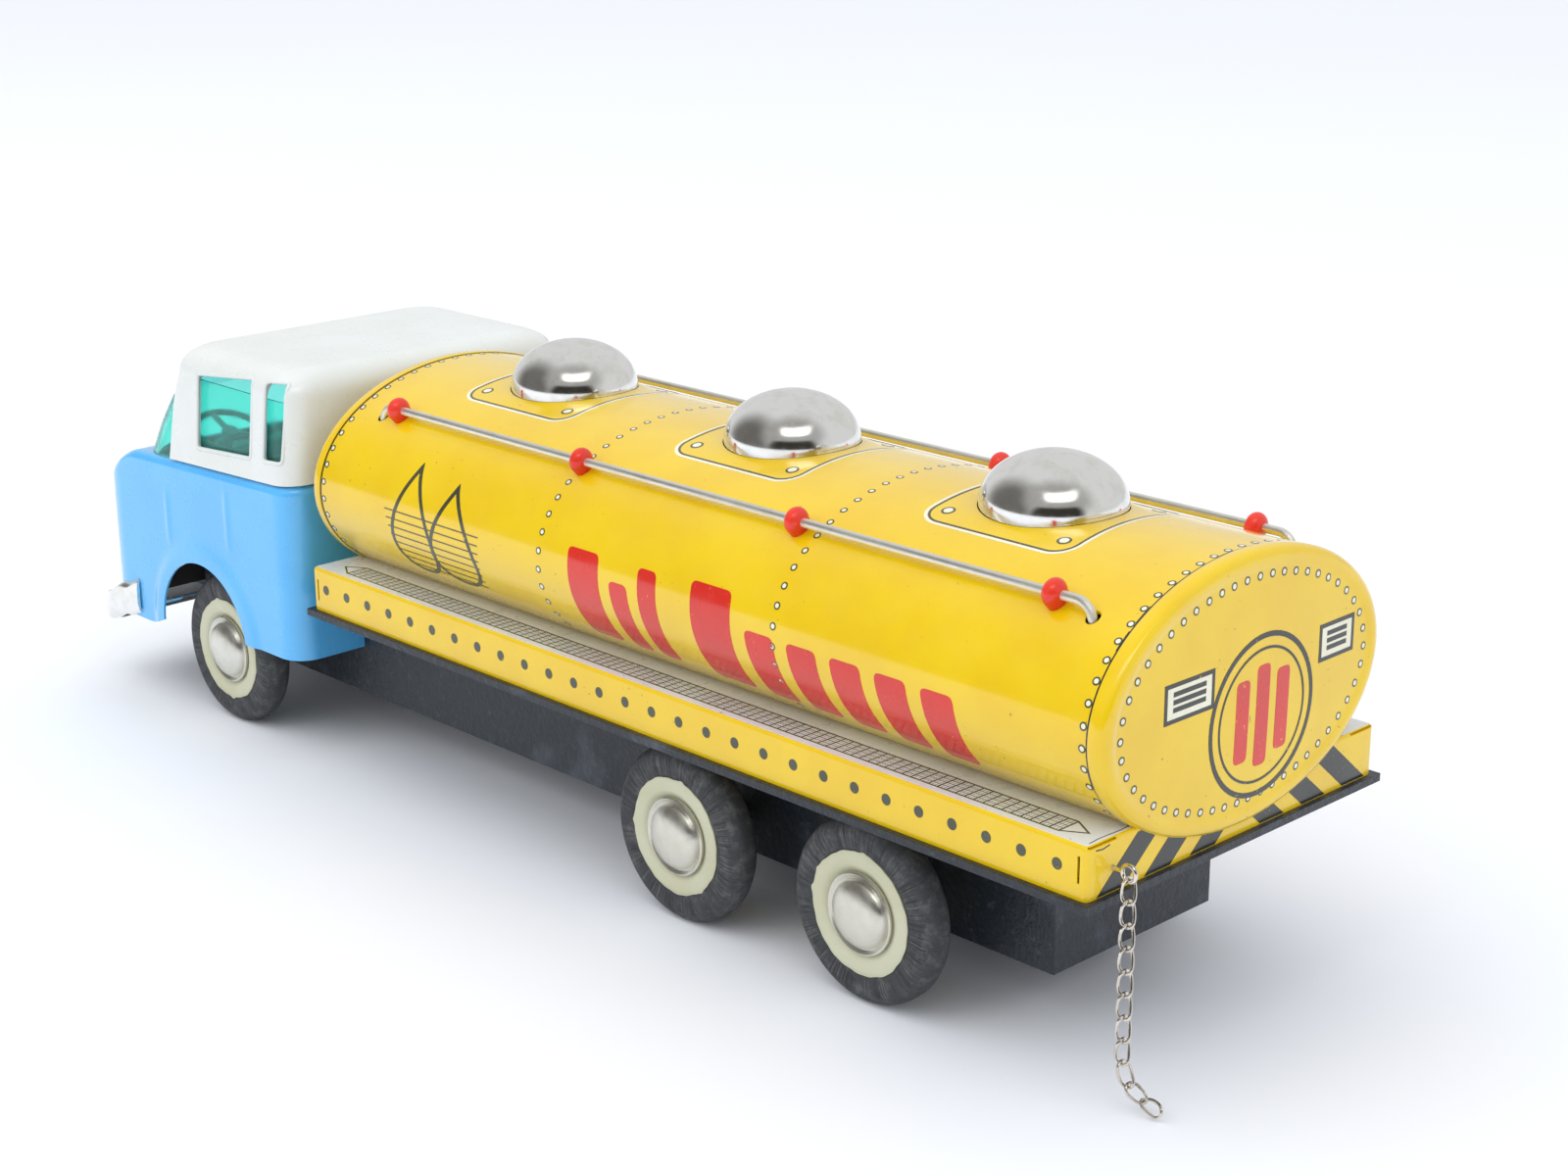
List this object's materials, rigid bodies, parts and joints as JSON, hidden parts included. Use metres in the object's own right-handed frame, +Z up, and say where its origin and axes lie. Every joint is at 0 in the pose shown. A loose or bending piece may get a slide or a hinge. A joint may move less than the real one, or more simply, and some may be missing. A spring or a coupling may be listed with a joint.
{
  "type": "tin toy tanker truck",
  "caption": "Pressed-tin toy tanker truck with an oval tank, domes, side rails, cab-over cab, rolling wheels, a friction drive and a trailing chain.",
  "frame": {"origin": "on the floor, under the middle of the whole length and width", "axes": "+X forward to the cab, +Y to the truck's left, +Z up"},
  "size_m": [0.38, 0.0968, 0.114],
  "materials": {
    "black_paint": "crinkled dark paint",
    "yellow_litho": "glossy printed tin",
    "blue_paint": "glossy enamel",
    "white_plastic": "glossy moulding",
    "teal_glazing": "tinted clear plastic",
    "brown_plastic": "matt moulding",
    "teal_plastic": "matt moulding",
    "grey_plastic": "matt moulding",
    "chrome": "bright plating",
    "rail_wire": "drawn wire",
    "red_plastic": "glossy moulding",
    "cream_plastic": "aged cream moulding",
    "tyre_rubber": "matt rubber",
    "steel": "turned",
    "brass": "stamped"
  },
  "bodies": {
    "truck": {"chassis": "black_paint", "bed": "yellow_litho", "tank_shell": "yellow_litho", "tank_front_cap": "yellow_litho", "tank_rear_cap": "yellow_litho", "dome_front": "chrome", "dome_middle": "chrome", "dome_rear": "chrome", "rail_left": "rail_wire", "rail_right": "rail_wire", "rail_posts_left": "red_plastic", "rail_posts_right": "red_plastic", "cab_body": "blue_paint", "cab_roof": "white_plastic", "cab_glazing": "teal_glazing", "seat": "brown_plastic", "dashboard": "teal_plastic", "steering_wheel": "grey_plastic", "bumper": "chrome", "grille": "chrome", "headlamps": "white_plastic", "motor_frame": "steel"},
    "front_wheels": {"axle_front": "steel", "tyre_front_left": "tyre_rubber", "tyre_front_right": "tyre_rubber", "wheel_front_left": "cream_plastic", "wheel_front_right": "cream_plastic", "hubcap_front_left": "chrome", "hubcap_front_right": "chrome"},
    "middle_wheels": {"axle_middle": "steel", "tyre_middle_left": "tyre_rubber", "tyre_middle_right": "tyre_rubber", "wheel_middle_left": "cream_plastic", "wheel_middle_right": "cream_plastic", "hubcap_middle_left": "chrome", "hubcap_middle_right": "chrome"},
    "rear_wheels": {"axle_rear": "steel", "tyre_rear_left": "tyre_rubber", "tyre_rear_right": "tyre_rubber", "wheel_rear_left": "cream_plastic", "wheel_rear_right": "cream_plastic", "hubcap_rear_left": "chrome", "hubcap_rear_right": "chrome", "drive_gear": "brass"},
    "layshaft": {"layshaft": "steel", "layshaft_gear": "brass"},
    "flywheel": {"flywheel_shaft": "steel", "flywheel": "steel"},
    "chain_hook": {"chain_hook": "rail_wire"},
    "link_01": {"chain_link_01": "rail_wire"},
    "link_02": {"chain_link_02": "rail_wire"},
    "link_03": {"chain_link_03": "rail_wire"},
    "link_04": {"chain_link_04": "rail_wire"},
    "link_05": {"chain_link_05": "rail_wire"},
    "link_06": {"chain_link_06": "rail_wire"},
    "link_07": {"chain_link_07": "rail_wire"},
    "link_08": {"chain_link_08": "rail_wire"},
    "link_09": {"chain_link_09": "rail_wire"},
    "link_10": {"chain_link_10": "rail_wire"},
    "link_11": {"chain_link_11": "rail_wire"}
  },
  "joints": [
    {"name": "front_wheels_spin", "type": "hinge", "parent": "truck", "child": "front_wheels", "pos_m": [0.1255, 0, 0.0205], "axis": [0, 1, 0], "continuous": true},
    {"name": "middle_wheels_spin", "type": "hinge", "parent": "truck", "child": "middle_wheels", "pos_m": [-0.0568, 0, 0.0205], "axis": [0, 1, 0], "continuous": true},
    {"name": "rear_wheels_spin", "type": "hinge", "parent": "truck", "child": "rear_wheels", "pos_m": [-0.1142, 0, 0.0205], "axis": [0, 1, 0], "continuous": true},
    {"name": "layshaft_spin", "type": "hinge", "parent": "truck", "child": "layshaft", "pos_m": [-0.10992, 0, 0.02791], "axis": [0, 1, 0], "continuous": true},
    {"name": "flywheel_spin", "type": "hinge", "parent": "truck", "child": "flywheel", "pos_m": [-0.10138, 0, 0.02851], "axis": [0, 1, 0], "continuous": true},
    {"name": "hook_swing", "type": "hinge", "parent": "truck", "child": "chain_hook", "pos_m": [-0.17625, 0.0394, 0.049], "axis": [0, 1, 0], "range_deg": [0, 25]},
    {"name": "link_01_swing", "type": "hinge", "parent": "chain_hook", "child": "link_01", "pos_m": [-0.1804, 0.0394, 0.0479], "axis": [1, 0, 0], "range_deg": [-20, 20]},
    {"name": "link_02_swing", "type": "hinge", "parent": "link_01", "child": "link_02", "pos_m": [-0.1804, 0.0394, 0.0431], "axis": [0, 1, 0], "range_deg": [-6, 20]},
    {"name": "link_03_swing", "type": "hinge", "parent": "link_02", "child": "link_03", "pos_m": [-0.1804, 0.0394, 0.0383], "axis": [1, 0, 0], "range_deg": [-20, 20]},
    {"name": "link_04_swing", "type": "hinge", "parent": "link_03", "child": "link_04", "pos_m": [-0.1804, 0.0394, 0.0335], "axis": [0, 1, 0], "range_deg": [-6, 20]},
    {"name": "link_05_swing", "type": "hinge", "parent": "link_04", "child": "link_05", "pos_m": [-0.1804, 0.0394, 0.0287], "axis": [1, 0, 0], "range_deg": [-20, 20]},
    {"name": "link_06_swing", "type": "hinge", "parent": "link_05", "child": "link_06", "pos_m": [-0.1804, 0.0394, 0.0239], "axis": [0, 1, 0], "range_deg": [-6, 20]},
    {"name": "link_07_swing", "type": "hinge", "parent": "link_06", "child": "link_07", "pos_m": [-0.1804, 0.0394, 0.0191], "axis": [1, 0, 0], "range_deg": [-20, 20]},
    {"name": "link_08_swing", "type": "hinge", "parent": "link_07", "child": "link_08", "pos_m": [-0.1804, 0.0394, 0.0143], "axis": [0, 1, 0], "range_deg": [-6, 20]},
    {"name": "link_09_swing", "type": "hinge", "parent": "link_08", "child": "link_09", "pos_m": [-0.1804, 0.0394, 0.0095], "axis": [1, 0, 0], "range_deg": [-20, 20]},
    {"name": "link_10_swing", "type": "hinge", "parent": "link_09", "child": "link_10", "pos_m": [-0.182, 0.0391, 0.0051], "axis": [0, 1, 0], "range_deg": [-6, 12]},
    {"name": "link_11_swing", "type": "hinge", "parent": "link_10", "child": "link_11", "pos_m": [-0.1851, 0.0381, 0.0027], "axis": [1, 0, 0], "range_deg": [-20, 12]}
  ],
  "couplings": [
    {"joint": "layshaft_spin", "follows": "rear_wheels_spin", "ratio": -2.4},
    {"joint": "flywheel_spin", "follows": "rear_wheels_spin", "ratio": 5.76}
  ]
}
